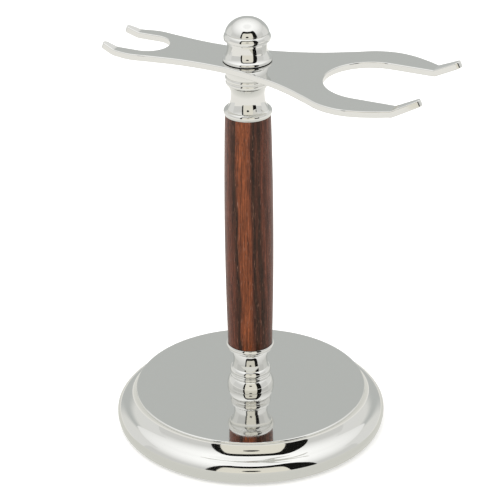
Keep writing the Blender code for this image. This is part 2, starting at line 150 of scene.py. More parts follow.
class RazorStandFinishes(bpy.types.PropertyGroup):
    """Colours and gloss of the finishes."""
    chrome: FloatVectorProperty(
        name="Chrome", description="Colour of the plating", subtype="COLOR",
        default=(0.80, 0.80, 0.785), min=0.0, max=1.0,
    )
    chrome_roughness: FloatProperty(
        name="Chrome roughness", description="Softness of the plating's reflections",
        default=0.035, min=0.0, max=0.5, subtype="FACTOR",
    )
    wood_light: FloatVectorProperty(
        name="Light wood", description="Colour of the wood's pale layers", subtype="COLOR",
        default=(0.150, 0.040, 0.013), min=0.0, max=1.0,
    )
    wood_red: FloatVectorProperty(
        name="Red wood", description="Colour of the wood's red layers", subtype="COLOR",
        default=(0.086, 0.024, 0.012), min=0.0, max=1.0,
    )
    wood_dark: FloatVectorProperty(
        name="Dark wood", description="Colour of the wood's dark layers", subtype="COLOR",
        default=(0.0200, 0.0088, 0.0040), min=0.0, max=1.0,
    )
    felt: FloatVectorProperty(
        name="Felt", description="Colour of the pad under the base", subtype="COLOR",
        default=(0.020, 0.021, 0.024), min=0.0, max=1.0,
    )
    iron: FloatVectorProperty(
        name="Cast iron", description="Colour of the weight", subtype="COLOR",
        default=(0.085, 0.080, 0.076), min=0.0, max=1.0,
    )
    steel: FloatVectorProperty(
        name="Zinc plate", description="Colour of the rod and its fasteners", subtype="COLOR",
        default=(0.62, 0.61, 0.58), min=0.0, max=1.0,
    )
    brass: FloatVectorProperty(
        name="Brass", description="Colour of the tube and the threaded bush", subtype="COLOR",
        default=(0.74, 0.52, 0.22), min=0.0, max=1.0,
    )
    nylon: FloatVectorProperty(
        name="Nylon", description="Colour of the washer under the finial", subtype="COLOR",
        default=(0.012, 0.012, 0.013), min=0.0, max=1.0,
    )


class RazorStandStudio(bpy.types.PropertyGroup):
    """Camera and surroundings."""
    azimuth: FloatProperty(
        name="Azimuth", description="Direction of the camera round the stand",
        default=math.radians(25.72), subtype="ANGLE",
    )
    elevation: FloatProperty(
        name="Elevation", description="Height of the camera above the horizon",
        default=math.radians(26.65), subtype="ANGLE",
    )
    roll: FloatProperty(
        name="Roll", description="Tilt of the camera about its own axis",
        default=math.radians(-0.557), subtype="ANGLE",
    )
    distance: FloatProperty(
        name="Distance", description="From the camera to the stand",
        default=0.76861, min=0.2, unit="LENGTH",
    )
    focal_length: FloatProperty(
        name="Focal length", description="Of the lens, for a 36 mm sensor, in millimetres",
        default=158.4, min=20.0,
    )
    card_colour: FloatVectorProperty(
        name="Front card", description="Colour of the card round the camera", subtype="COLOR",
        default=(0.87, 0.84, 0.74), min=0.0, max=1.0,
    )
    wall_colour: FloatVectorProperty(
        name="Back wall", description="Colour of the wall behind the stand", subtype="COLOR",
        default=(0.55, 0.565, 0.55), min=0.0, max=1.0,
    )
    # Painted shadow: the floor beside the stand as polished pieces see it, darkened to stand in for the
    # stand's shade.
    table_near_shadowed: FloatVectorProperty(
        name="Table near", description="Floor beside the stand, as polished pieces see it",
        default=(0.72, 0.72, 0.67), min=0.0, max=1.0, subtype="COLOR",
    )
    table_far: FloatVectorProperty(
        name="Table far", description="Floor away from the stand, as polished pieces see it",
        default=(0.95, 0.935, 0.89), min=0.0, max=1.0, subtype="COLOR",
    )


# ---------------------------------------------------------------------------------------------
# Profiles: lists of (radius, height) in millimetres, down the outside and back up the bore
# ---------------------------------------------------------------------------------------------

def arc_through(start, middle, end, steps=ARC_STEPS):
    """Points on the circle through three points, from start to end, both included."""
    (ax, ay), (bx, by), (cx, cy) = start, middle, end
    double = 2.0 * (ax * (by - cy) + bx * (cy - ay) + cx * (ay - by))
    a2 = ax * ax + ay * ay
    b2 = bx * bx + by * by
    c2 = cx * cx + cy * cy
    ux = (a2 * (by - cy) + b2 * (cy - ay) + c2 * (ay - by)) / double
    uy = (a2 * (cx - bx) + b2 * (ax - cx) + c2 * (bx - ax)) / double
    radius = math.hypot(ax - ux, ay - uy)
    first = math.atan2(ay - uy, ax - ux)
    via = (math.atan2(by - uy, bx - ux) - first) % math.tau
    turn = (math.atan2(cy - uy, cx - ux) - first) % math.tau
    if via > turn:
        turn -= math.tau
    return [
        (ux + radius * math.cos(first + turn * i / steps),
         uy + radius * math.sin(first + turn * i / steps))
        for i in range(steps + 1)
    ]


def ellipse_arc(centre, radii, start, end, steps=ARC_STEPS):
    """Points on an ellipse between two angles in degrees, measured from the outward radius."""
    points = []
    for i in range(steps + 1):
        angle = math.radians(start + (end - start) * i / steps)
        points.append((centre[0] + radii[0] * math.cos(angle), centre[1] + radii[1] * math.sin(angle)))
    return points


def hollow_arc(centre, radii, start, end, steps=ARC_STEPS):
    """Points on the inward side of an ellipse, for a cove. Angles are from the inward radius."""
    return [(2.0 * centre[0] - r, z) for r, z in ellipse_arc(centre, radii, start, end, steps)]


def turn_at(before, corner, after):
    """How far a profile turns at a corner."""
    first = math.atan2(corner[1] - before[1], corner[0] - before[0])
    second = math.atan2(after[1] - corner[1], after[0] - corner[0])
    return abs((second - first + math.pi) % math.tau - math.pi)


def spread(start, end, parts):
    """Evenly spaced points from start to end, both included."""
    return [tuple(s + (e - s) * i / parts for s, e in zip(start, end)) for i in range(parts + 1)]


def towards(start, end, distance):
    """The point this far from start on the way to end."""
    share = distance / math.dist(start, end)
    return (start[0] + (end[0] - start[0]) * share, start[1] + (end[1] - start[1]) * share)


def rounded(profile, radius, closed):
    """Replace each sharp corner of a profile with a short curve."""
    smooth = []
    count = len(profile)
    for i, corner in enumerate(profile):
        before = profile[i - 1]
        after = profile[(i + 1) % count]
        at_end = not closed and i in (0, count - 1)
        angle = 0.0 if at_end else turn_at(before, corner, after)
        if angle < CORNER_ANGLE:
            smooth.append(corner)
            continue
        reach = min(
            radius * math.tan(0.5 * min(angle, 2.6)),
            0.45 * math.dist(before, corner), 0.45 * math.dist(corner, after),
        )
        start = towards(corner, before, reach)
        end = towards(corner, after, reach)
        for k in range(ROUND_STEPS + 1):
            t = k / ROUND_STEPS
            smooth.append(tuple(
                (1.0 - t) ** 2 * s + 2.0 * t * (1.0 - t) * c + t * t * e
                for s, c, e in zip(start, corner, end)
            ))
    return smooth


def supported(profile, closed):
    """Add a point beside each turn at the end of a long span, so that flat faces shade flat."""
    count = len(profile)
    spans = count if closed else count - 1
    result = []
    for i in range(spans):
        start, end = profile[i], profile[(i + 1) % count]
        result.append(start)
        if math.dist(start, end) < LONG_SPAN:
            continue
        start_turn = turn_at(profile[i - 1], start, end) if closed or i else 0.0
        after = profile[(i + 2) % count]
        end_turn = turn_at(start, end, after) if closed or i + 2 < count else 0.0
        if start_turn > KINK_ANGLE:
            result.append(towards(start, end, SUPPORT))
        if end_turn > KINK_ANGLE:
            result.append(towards(end, start, SUPPORT))
    if not closed:
        result.append(profile[-1])
    return result


def base_shell_profile():
    """Flat mirror top, beaded rim, deep cove, ovolo, upright edge and hollow underside."""
    rim_radius = 0.47
    rim_centre = (40.6, SHELL_TOP - rim_radius)
    cove_end = (45.08, 8.32)
    wall_edge = (47.85, 5.7)
    wall_foot = (47.62, 2.2)
    profile = [(ROD_HOLE, SHELL_TOP)]
    profile += ellipse_arc(rim_centre, (rim_radius, rim_radius), 90.0, -45.0, 12)
    profile += arc_through(profile[-1], (42.36, 10.0), cove_end)[1:]
    profile += arc_through(cove_end, (46.72, 7.27), wall_edge)[1:]
    profile += arc_through(wall_edge, (BASE_RADIUS, 4.0), wall_foot)[1:]
    profile += arc_through(wall_foot, (47.2, 1.25), (46.4, SHELL_BOTTOM))[1:]
    profile += [(44.5, SHELL_BOTTOM), (44.5, 6.4), (40.6, 8.9), (40.6, 10.0), (39.2, SHELL_UNDERSIDE)]
    profile += [(ROD_HOLE, SHELL_UNDERSIDE)]
    return profile


def lower_coupler_profile():
    """Spigot, flange, long cove, two beads and a swelling foot."""
    spigot_top = high("lower_coupler").z
    profile = [(ROD_HOLE, spigot_top), (SPIGOT_RADIUS - SPIGOT_CHAMFER, spigot_top)]
    profile += [(SPIGOT_RADIUS, spigot_top - SPIGOT_CHAMFER), (SPIGOT_RADIUS, COLUMN_BOTTOM)]
    profile += arc_through((8.15, COLUMN_BOTTOM), (8.46, 30.1), (7.95, 29.1))
    profile += hollow_arc((7.9, 23.7), (1.85, 5.3), 90.0, 0.0, 30)[1:]
    profile += arc_through((6.35, 21.6), (7.25, 20.2), (7.0, 19.05))
    profile += arc_through((6.9, 18.8), (7.2, 18.25), (6.9, 17.7))
    profile += arc_through((7.15, 17.5), (8.1, 15.8), (8.33, SHELL_TOP))
    profile += [(ROD_HOLE, SHELL_TOP)]
    return profile


def upper_coupler_profile():
    """Fork seat, bead, ridge, cove and a lipped collar over the wood, with a spigot."""
    seat = PLATE_BOTTOM - JOINT_GAP
    spigot_bottom = low("upper_coupler").z
    profile = [(ROD_HOLE, seat)]
    profile += arc_through((7.75, seat), (7.4, 134.4), (7.3, 133.4))
    profile += arc_through((7.25, 133.25), (7.62, 132.5), (7.3, 131.75))
    profile += arc_through((7.3, 131.6), (7.5, 130.9), (6.95, 130.0))
    profile += arc_through((6.8, 129.85), (6.0, 128.1), (5.81, 125.4))
    profile += hollow_arc((13.01, 125.4), (7.2, -7.2), 0.0, 35.0)[1:]
    profile += ellipse_arc((6.9, 120.2), (1.43, 1.28), 75.0, -25.0)
    profile += [(7.95, COLUMN_TOP), (SPIGOT_RADIUS, COLUMN_TOP)]
    profile += [(SPIGOT_RADIUS, spigot_bottom + SPIGOT_CHAMFER)]
    profile += [(SPIGOT_RADIUS - SPIGOT_CHAMFER, spigot_bottom), (ROD_HOLE, spigot_bottom)]
    return profile


def finial_cap_profile():
    """Low dome, bead, waist and spreading foot, bored from below."""
    foot = PLATE_TOP + FOOT_GAP
    recess = 7.5
    recess_top = high("finial_washer").z + GAP
    bore = high("finial_insert").x + GAP
    room_over_bush = 0.7
    bore_top = high("finial_insert").z + room_over_bush
    dome_centre = 147.4
    profile = ellipse_arc((0.0, dome_centre), (7.6, FINIAL_TOP - dome_centre), 90.0, 13.8, 40)
    profile[0] = (0.0, FINIAL_TOP)
    bead_radius = 2.0
    profile += ellipse_arc((6.0, 146.87), (bead_radius, bead_radius), 62.0, -20.0)
    profile += [(6.78, 145.6)]
    profile += hollow_arc((8.69, 143.6), (1.95, -3.9), -20.0, 75.0, 30)
    profile += arc_through(profile[-1], (8.44, 139.45), (8.36, foot))[1:]
    profile += [(recess, foot), (recess, recess_top), (bore, recess_top)]
    profile += [(bore, bore_top), (0.0, bore_top)]
    return profile


# ---------------------------------------------------------------------------------------------
# Mesh builders
# ---------------------------------------------------------------------------------------------

def new_piece(name, shape, material, body, node):
    """Make a piece from (points in metres, faces), and let it stand for a CAD node on its body."""
    verts, faces = shape
    mesh = bpy.data.meshes.new(name)
    mesh.from_pydata(verts, [], faces)
    add_piece(mesh, material, body, node)


def add_piece(mesh, material, body, node):
    """Link a finished mesh as a piece of the stand."""
    mesh.validate()
    mesh.shade_smooth()
    mesh.materials.append(material)
    piece = bpy.data.objects.new(mesh.name, mesh)
    bpy.context.scene.collection.objects.link(piece)
    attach(piece, body)
    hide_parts(node)


def turned_mesh(profile, closed, facets, corner_round, reshape=None):
    """Points and faces of a profile spun round Z. reshape(angle, radius, height) may move a point."""
    rows = supported(rounded(profile, corner_round, closed), closed)
    verts = []
    starts = []
    for radius, height in rows:
        starts.append(len(verts))
        if radius < 1e-6:
            verts.append((0.0, 0.0, height * MM))
            continue
        for k in range(facets):
            angle = math.tau * k / facets
            r, z = reshape(angle, radius, height) if reshape else (radius, height)
            verts.append((r * math.cos(angle) * MM, r * math.sin(angle) * MM, z * MM))
    sizes = [facets if radius >= 1e-6 else 1 for radius, _ in rows]
    count = len(rows)
    faces = []
    for i in range(count if closed else count - 1):
        j = (i + 1) % count
        for k in range(facets):
            n = (k + 1) % facets
            if sizes[i] == 1:
                faces.append((starts[i], starts[j] + k, starts[j] + n))
            elif sizes[j] == 1:
                faces.append((starts[i] + k, starts[j], starts[i] + n))
            else:
                faces.append((starts[i] + k, starts[j] + k, starts[j] + n, starts[i] + n))
    return verts, faces


def ring_profile(outer, inner, bottom, top):
    """Profile of a plain ring."""
    return [(inner, top), (outer, top), (outer, bottom), (inner, bottom)]


def smooth_through(points, steps):
    """A smooth curve through a list of points, with this many steps to each span."""
    count = len(points)
    curve = []
    for i in range(count - 1):
        quad = (points[max(i - 1, 0)], points[i], points[i + 1], points[min(i + 2, count - 1)])
        for k in range(steps):
            t = k / steps
            curve.append(tuple(
                0.5 * (2.0 * s + (e - b) * t + (2.0 * b - 5.0 * s + 4.0 * e - a) * t ** 2
                       + (3.0 * s - b - 3.0 * e + a) * t ** 3)
                for b, s, e, a in zip(*quad)
            ))
    curve.append(points[-1])
    return curve


def fork_outline():
    """The flat fork's outline in millimetres, clockwise from above."""
    slot_centre, slot_radius = RAZOR_SLOT
    tip_centre, tip_radius = RAZOR_TIP
    half = ellipse_arc((slot_centre, 0.0), (slot_radius,) * 2, 0.0, 90.0, 28)
    tip_y = slot_radius + tip_radius
    half += ellipse_arc((tip_centre, tip_y), (tip_radius,) * 2, 270.0, 100.0, 20)
    half += smooth_through(FORK_EDGE, 8)
    slot_centre, slot_radius = BRUSH_SLOT
    tip_centre, tip_radius = BRUSH_TIP
    tip_y = slot_radius + tip_radius
    half += ellipse_arc((tip_centre, tip_y), (tip_radius,) * 2, 75.0, -90.0, 20)
    half += ellipse_arc((slot_centre, 0.0), (slot_radius,) * 2, 90.0, 180.0, 44)
    nearly_zero = 0.001
    return half + [(x, -y) for x, y in reversed(half) if y > nearly_zero]


def edge_rings(shape, loop, sections):
    """Sweep a cross-section (inset, height) round a closed loop. Returns the first and last rings."""
    count = len(loop)
    normals = []
    for i in range(count):
        (ax, ay), (bx, by) = loop[i - 1], loop[(i + 1) % count]
        length = math.hypot(bx - ax, by - ay)
        normals.append((-(by - ay) / length, (bx - ax) / length))
    rings = []
    for inset, height in sections:
        rings.append([
            shape.verts.new(((x - nx * inset) * MM, (y - ny * inset) * MM, height * MM))
            for (x, y), (nx, ny) in zip(loop, normals)
        ])
    for upper, lower in zip(rings, rings[1:]):
        for i in range(count):
            j = (i + 1) % count
            shape.faces.new((upper[i], upper[j], lower[j], lower[i]))
    return rings[0], rings[-1]


def close_flat(shape, rings):
    """Fill the flat face bounded by an outer ring and the rings of its holes."""
    edges = []
    for ring in rings:
        for first, second in zip(ring, ring[1:] + ring[:1]):
            edges.append(shape.edges.get((first, second)))
    bmesh.ops.triangle_fill(shape, use_beauty=True, edges=edges)


def bent(x, z, bend):
    """Where a point of the flat plate goes when its end past the bend's start is bent up."""
    start, radius, angle = bend
    middle = 0.5 * (PLATE_TOP + PLATE_BOTTOM)
    side = 1.0 if start > 0.0 else -1.0
    along = (x - start) * side
    if along <= 0.0:
        return x, z
    turn = min(along / radius, angle)
    rest = along - turn * radius
    reach = radius * math.sin(turn) + rest * math.cos(turn) - (z - middle) * math.sin(turn)
    rise = radius * (1.0 - math.cos(turn)) + rest * math.sin(turn) + (z - middle) * math.cos(turn)
    return start + side * reach, middle + rise


def bend_cuts(bend):
    """Lines across the plate where it is cut so that its faces follow a bend."""
    start, radius, angle = bend
    side = 1.0 if start > 0.0 else -1.0
    length = radius * angle
    offsets = [length * i / BEND_CUTS for i in range(BEND_CUTS + 1)]
    return [start + side * offset for offset in [-0.1] + offsets + [length + 0.1]]


def fork_mesh(edge_round):
    """The fork: an outline with rounded edges, filled, cut across its bends and bent."""
    shape = bmesh.new()
    quarter = []
    for k in range(ROUND_STEPS + 1):
        turn = 0.5 * math.pi * k / ROUND_STEPS
        quarter.append((edge_round * (1.0 - math.sin(turn)), edge_round * (1.0 - math.cos(turn))))
    upper = [(edge_round + SUPPORT, 0.0)] + quarter + [(0.0, edge_round + SUPPORT)]
    sections = [(inset, PLATE_TOP - drop) for inset, drop in upper]
    sections += [(inset, PLATE_BOTTOM + drop) for inset, drop in reversed(upper)]
    hole = ellipse_arc((0.0, 0.0), (ROD_HOLE, ROD_HOLE), 0.0, 360.0, 72)[:-1]
    outer_top, outer_bottom = edge_rings(shape, fork_outline(), sections)
    hole_top, hole_bottom = edge_rings(shape, hole, sections)
    close_flat(shape, (outer_top, hole_top))
    close_flat(shape, (outer_bottom, hole_bottom))
    for bend in (BRUSH_BEND, RAZOR_BEND):
        for line in bend_cuts(bend):
            bmesh.ops.bisect_plane(
                shape, geom=shape.verts[:] + shape.edges[:] + shape.faces[:], dist=1e-7,
                plane_co=(line * MM, 0.0, 0.0), plane_no=(1.0, 0.0, 0.0),
            )
    for vert in shape.verts:
        x, z = vert.co.x / MM, vert.co.z / MM
        for bend in (BRUSH_BEND, RAZOR_BEND):
            x, z = bent(x, z, bend)
        vert.co = (x * MM, vert.co.y, z * MM)
    bmesh.ops.recalc_face_normals(shape, faces=shape.faces)
    mesh = bpy.data.meshes.new("fork")
    shape.to_mesh(mesh)
    shape.free()
    return mesh


# ---------------------------------------------------------------------------------------------
# Shader nodes
# ---------------------------------------------------------------------------------------------

def add_node(tree, kind, values=None, links=None, **settings):
    """Add a shader node, set its properties and inputs, and link sockets into it."""
    node = tree.nodes.new(kind)
    for key, value in settings.items():
        setattr(node, key, value)
    for key, value in (values or {}).items():
        node.inputs[key].default_value = value
    for key, socket in (links or {}).items():
        tree.links.new(socket, node.inputs[key])
    return node


def maths(tree, operation, *terms):
    """Add a Math node. Terms are numbers or sockets."""
    node = tree.nodes.new("ShaderNodeMath")
    node.operation = operation
    for i, term in enumerate(terms):
        if isinstance(term, (int, float)):
            node.inputs[i].default_value = term
        else:
            tree.links.new(term, node.inputs[i])
    return node.outputs[0]


def ramp(tree, factor, stops, interpolation="LINEAR"):
    """Add a Color Ramp through (position, colour) stops."""
    node = tree.nodes.new("ShaderNodeValToRGB")
    node.color_ramp.interpolation = interpolation
    elements = node.color_ramp.elements
    while len(elements) < len(stops):
        elements.new(0.5)
    for element, (position, colour) in zip(elements, stops):
        element.position = position
        element.color = (*colour, 1.0)
    tree.links.new(factor, node.inputs["Fac"])
    return node.outputs["Color"]


def remap(tree, value, low_in, high_in, low_out=0.0, high_out=1.0):
    """Add a Map Range node, which holds its result between the two outputs."""
    ends = {1: low_in, 2: high_in, 3: low_out, 4: high_out}
    return add_node(tree, "ShaderNodeMapRange", ends, {0: value}).outputs[0]


def noise_field(tree, place, **inputs):
    """Add a Noise texture read at a place. Its inputs are numbers or sockets."""
    values = {}
    links = {"Vector": place}
    for key, value in inputs.items():
        kept = links if isinstance(value, bpy.types.NodeSocket) else values
        kept[key.capitalize()] = value
    return add_node(tree, "ShaderNodeTexNoise", values, links)


def scaled(colour, share):
    """A colour made darker or lighter."""
    return [share * channel for channel in colour]


def between(first, second, share):
    """A colour this share of the way from the first to the second."""
    return [(1.0 - share) * a + share * b for a, b in zip(first, second)]


def blend(tree, factor, first, second, mode="MIX"):
    """Mix two colours. Each may be a colour or a socket."""
    node = tree.nodes.new("ShaderNodeMix")
    node.data_type = "RGBA"
    node.blend_type = mode
    for index, value in ((0, factor), (6, first), (7, second)):
        if isinstance(value, bpy.types.NodeSocket):
            tree.links.new(value, node.inputs[index])
        elif index == 0:
            node.inputs[index].default_value = value
        else:
            node.inputs[index].default_value = (*value, 1.0)
    return node.outputs[2]


def millimetres(tree):
    """Position on the stand in millimetres, as a socket."""
    place = add_node(tree, "ShaderNodeTexCoord").outputs["Object"]
    factor = {1: (1.0 / MM,) * 3}
    enlarged = add_node(tree, "ShaderNodeVectorMath", factor, {0: place}, operation="MULTIPLY")
    return enlarged.outputs["Vector"]


def new_group(name, inputs, outputs):
    """Make a shader node group with float inputs (name: default) and float outputs."""
    tree = bpy.data.node_groups.new(name, "ShaderNodeTree")
    for label, default in inputs.items():
        socket = tree.interface.new_socket(label, in_out="INPUT", socket_type="NodeSocketFloat")
        socket.default_value = default
    for label in outputs:
        tree.interface.new_socket(label, in_out="OUTPUT", socket_type="NodeSocketFloat")
    return tree, tree.nodes.new("NodeGroupInput"), tree.nodes.new("NodeGroupOutput")


def lathe_marks_group():
    """Hairlines that run round a turned or polished piece."""
    tree, given, result = new_group(
        "Lathe marks", {"Lines per mm": 9.0, "Softness": 0.45, "Variation": 0.012}, ("Roughness", "Height"),
    )
    split = add_node(tree, "ShaderNodeSeparateXYZ", links={0: millimetres(tree)})
    radius = maths(tree, "SQRT", maths(
        tree, "ADD", maths(tree, "MULTIPLY", split.outputs[0], split.outputs[0]),
        maths(tree, "MULTIPLY", split.outputs[1], split.outputs[1])))
    lines = given.outputs["Lines per mm"]
    across = add_node(tree, "ShaderNodeCombineXYZ", links={
        0: maths(tree, "MULTIPLY", radius, lines),
        1: maths(tree, "MULTIPLY", split.outputs[2], lines),
        2: maths(tree, "MULTIPLY", split.outputs[0], 0.11),
    })
    marks = noise_field(
        tree, across.outputs[0], scale=1.0, detail=3.0, roughness=given.outputs["Softness"]).outputs["Fac"]
    tree.links.new(maths(tree, "MULTIPLY", marks, given.outputs["Variation"]), result.inputs["Roughness"])
    tree.links.new(marks, result.inputs["Height"])
    return tree


def handling_group():
    """Soft patches where hands and cloths have dulled a polished surface, with a little dust."""
    tree, given, result = new_group(
        "Handling", {"Patch size mm": 14.0, "Haze": 0.02, "Dust": 0.15}, ("Roughness", "Dust mask"),
    )
    place = millimetres(tree)
    size = maths(tree, "DIVIDE", 1.0, given.outputs["Patch size mm"])
    patches = noise_field(tree, place, scale=size, detail=4.0, roughness=0.55).outputs["Fac"]
    dulled = remap(tree, patches, 0.42, 0.72)
    specks = remap(tree, noise_field(tree, place, scale=2.6, detail=2.0).outputs["Fac"], 0.70, 0.76)
    tree.links.new(maths(tree, "MULTIPLY", dulled, given.outputs["Haze"]), result.inputs["Roughness"])
    tree.links.new(maths(tree, "MULTIPLY", specks, given.outputs["Dust"]), result.inputs["Dust mask"])
    return tree


def mottle_group():
    """Fine and coarse mottling for castings, felt, plastic and tarnish."""
    tree, given, result = new_group(
        "Mottle", {"Grain mm": 0.5, "Patch mm": 6.0, "Contrast": 1.0}, ("Grain", "Patches"),
    )
    place = millimetres(tree)
    for label, detail, name in (("Grain mm", 5.0, "Grain"), ("Patch mm", 3.0, "Patches")):
        scale = maths(tree, "DIVIDE", 1.0, given.outputs[label])
        value = noise_field(tree, place, scale=scale, detail=detail, roughness=0.6).outputs["Fac"]
        centred = maths(tree, "MULTIPLY", maths(tree, "SUBTRACT", value, 0.5), given.outputs["Contrast"])
        tree.links.new(maths(tree, "ADD", centred, 0.5), result.inputs[name])
    return tree


GROUP_BUILDERS = {"Lathe marks": lathe_marks_group, "Handling": handling_group, "Mottle": mottle_group}


def place_group(tree, name, values):
    """Place a shared node group, built the first time it is asked for, with values of its own."""
    node = tree.nodes.new("ShaderNodeGroup")
    node.node_tree = bpy.data.node_groups.get(name) or GROUP_BUILDERS[name]()
    for key, value in values.items():
        node.inputs[key].default_value = value
    return node


def new_material(name):
    """An empty Principled material: the material, its node tree and its shader."""
    material = bpy.data.materials.new(name)
    material.use_nodes = True
    return material, material.node_tree, material.node_tree.nodes["Principled BSDF"]


def bump(tree, shader, height, distance):
    """Feed a height through a Bump node into the shader's normal. Distance is in metres."""
    node = add_node(tree, "ShaderNodeBump", {"Strength": 1.0, "Distance": distance}, {"Height": height})
    tree.links.new(node.outputs["Normal"], shader.inputs["Normal"])


def chrome_material(name, lines_per_mm, finishes):
    """Bright plating over polished metal, with faint hairlines and handling haze."""
    material, tree, shader = new_material(name)
    marks = place_group(tree, "Lathe marks", {"Lines per mm": lines_per_mm, "Variation": 0.02})
    hands = place_group(tree, "Handling", {"Patch size mm": 17.0, "Haze": 0.03, "Dust": 0.25})
    roughness = maths(tree, "ADD", marks.outputs["Roughness"], hands.outputs["Roughness"])
    shine = maths(tree, "ADD", roughness, finishes.chrome_roughness - 0.01)
    tree.links.new(shine, shader.inputs["Roughness"])
    colour = blend(tree, hands.outputs["Dust mask"], finishes.chrome, scaled(finishes.chrome, 0.93))
    tree.links.new(colour, shader.inputs["Base Color"])
    shader.inputs["Metallic"].default_value = 1.0
    bump(tree, shader, marks.outputs["Height"], 0.0000004)
    return material


def rosewood_material(finishes, azimuth):
    """Glossy figured wood: broad dark and orange layers, fine streaks and short open pores."""
    material, tree, shader = new_material("rosewood")
    place = millimetres(tree)
    split = add_node(tree, "ShaderNodeSeparateXYZ", links={0: place})
    x, y, z = split.outputs
    # The log's layers stand upright and cross the piece along this direction.
    across = maths(tree, "ADD", maths(tree, "MULTIPLY", x, math.cos(azimuth)),
                   maths(tree, "MULTIPLY", y, math.sin(azimuth)))

    def streaks(crosswise, lengthwise, detail, offset, roughness=0.55):
        """Noise drawn out along the column."""
        vector = add_node(tree, "ShaderNodeCombineXYZ", links={
            0: maths(tree, "MULTIPLY_ADD", x, crosswise, offset),
            1: maths(tree, "MULTIPLY", y, crosswise),
            2: maths(tree, "MULTIPLY", z, lengthwise),
        }).outputs[0]
        return noise_field(tree, vector, scale=1.0, detail=detail, roughness=roughness).outputs["Fac"]

    wander = maths(tree, "MULTIPLY_ADD", streaks(0.16, 0.022, 2.0, 3.7), 3.6, -1.8)
    ripple = maths(tree, "MULTIPLY_ADD", streaks(1.5, 0.07, 3.0, 11.3), 1.5, -0.75)
    slanted = maths(tree, "MULTIPLY_ADD", z, 0.02, maths(tree, "SUBTRACT", across, 1.5))
    layer = maths(tree, "ADD", maths(tree, "ADD", slanted, wander), ripple)
    half_width = 8.5
    position = remap(tree, layer, -half_width, half_width)
    light, red, dark = finishes.wood_light, finishes.wood_red, finishes.wood_dark
    dusky = between(red, dark, 0.45)
    warm = between(light, red, 0.4)
    layers = ramp(tree, position, [
        (0.00, red), (0.13, red), (0.19, dusky), (0.27, dark), (0.31, warm), (0.36, light), (0.45, light),
        (0.54, warm), (0.575, dusky), (0.62, dark), (0.68, dusky), (0.74, dark), (0.80, red), (0.84, dusky),
        (0.92, red), (1.00, red),
    ])
    streak = remap(tree, streaks(3.0, 0.070, 4.0, 27.0, 0.7), 0.32, 0.68, 0.32, 1.80)
    fine = remap(tree, streaks(9.0, 0.16, 2.0, 41.0), 0.3, 0.7, 0.50, 1.50)
    shade = add_node(tree, "ShaderNodeCombineColor", links={
        key: maths(tree, "MULTIPLY", streak, fine) for key in ("Red", "Green", "Blue")
    }).outputs[0]
    figured = blend(tree, 1.0, layers, shade, "MULTIPLY")
    pores = remap(tree, streaks(7.0, 0.42, 1.0, 63.0), 0.635, 0.70)
    flecks = remap(tree, streaks(5.5, 0.30, 1.0, 87.0), 0.66, 0.73, 0.0, 0.55)
    with_flecks = blend(tree, flecks, figured, (0.30, 0.15, 0.10))
    with_pores = blend(tree, maths(tree, "MULTIPLY", pores, 0.75), with_flecks, scaled(dark, 0.4))
    tree.links.new(with_pores, shader.inputs["Base Color"])
    hands = place_group(tree, "Handling", {"Patch size mm": 9.0, "Haze": 0.05})
    rough = maths(tree, "ADD", maths(tree, "MULTIPLY_ADD", pores, 0.25, 0.30), hands.outputs["Roughness"])
    tree.links.new(rough, shader.inputs["Roughness"])
    shader.inputs["Specular IOR Level"].default_value = 0.10
    shader.inputs["Coat Weight"].default_value = 0.28
    shader.inputs["Coat Roughness"].default_value = 0.12
    bump(tree, shader, maths(tree, "SUBTRACT", fine, pores), 0.00002)
    return material


def felt_material(finishes):
    """Pressed black felt: matted fibres in every direction."""
    material, tree, shader = new_material("felt")
    mottle = place_group(tree, "Mottle", {"Grain mm": 0.35, "Patch mm": 9.0, "Contrast": 1.6})
    place = millimetres(tree)
    bend = noise_field(tree, place, scale=0.8, detail=2.0).outputs["Color"]
    swirl = add_node(tree, "ShaderNodeVectorMath", links={0: bend, 1: place}, operation="ADD")
    fibre = add_node(
        tree, "ShaderNodeTexWave", {"Scale": 2.2, "Distortion": 14.0, "Detail": 4.0, "Detail Scale": 2.5},
        {"Vector": swirl.outputs[0]},
    ).outputs["Fac"]
    tone = maths(tree, "MULTIPLY", fibre, mottle.outputs["Grain"])
    fibres = blend(tree, tone, finishes.felt, scaled(finishes.felt, 2.6))
    colour = blend(tree, mottle.outputs["Patches"], fibres, finishes.felt)
    tree.links.new(colour, shader.inputs["Base Color"])
    shader.inputs["Roughness"].default_value = 0.95
    shader.inputs["Sheen Weight"].default_value = 0.35
    bump(tree, shader, tone, 0.00015)
    return material


def iron_material(finishes):
    """Sand-cast iron with a grainy skin and a little rust."""
    material, tree, shader = new_material("cast_iron")
    mottle = place_group(tree, "Mottle", {"Grain mm": 0.7, "Patch mm": 7.0, "Contrast": 1.5})
    grain = mottle.outputs["Grain"]
    rust = remap(tree, mottle.outputs["Patches"], 0.62, 0.85, 0.0, 0.8)
    grey = blend(tree, grain, scaled(finishes.iron, 0.6), scaled(finishes.iron, 1.5))
    tree.links.new(blend(tree, rust, grey, (0.16, 0.055, 0.022)), shader.inputs["Base Color"])
    tree.links.new(maths(tree, "SUBTRACT", 0.75, rust), shader.inputs["Metallic"])
    tree.links.new(maths(tree, "MULTIPLY_ADD", grain, 0.3, 0.45), shader.inputs["Roughness"])
    bump(tree, shader, grain, 0.0002)
    return material


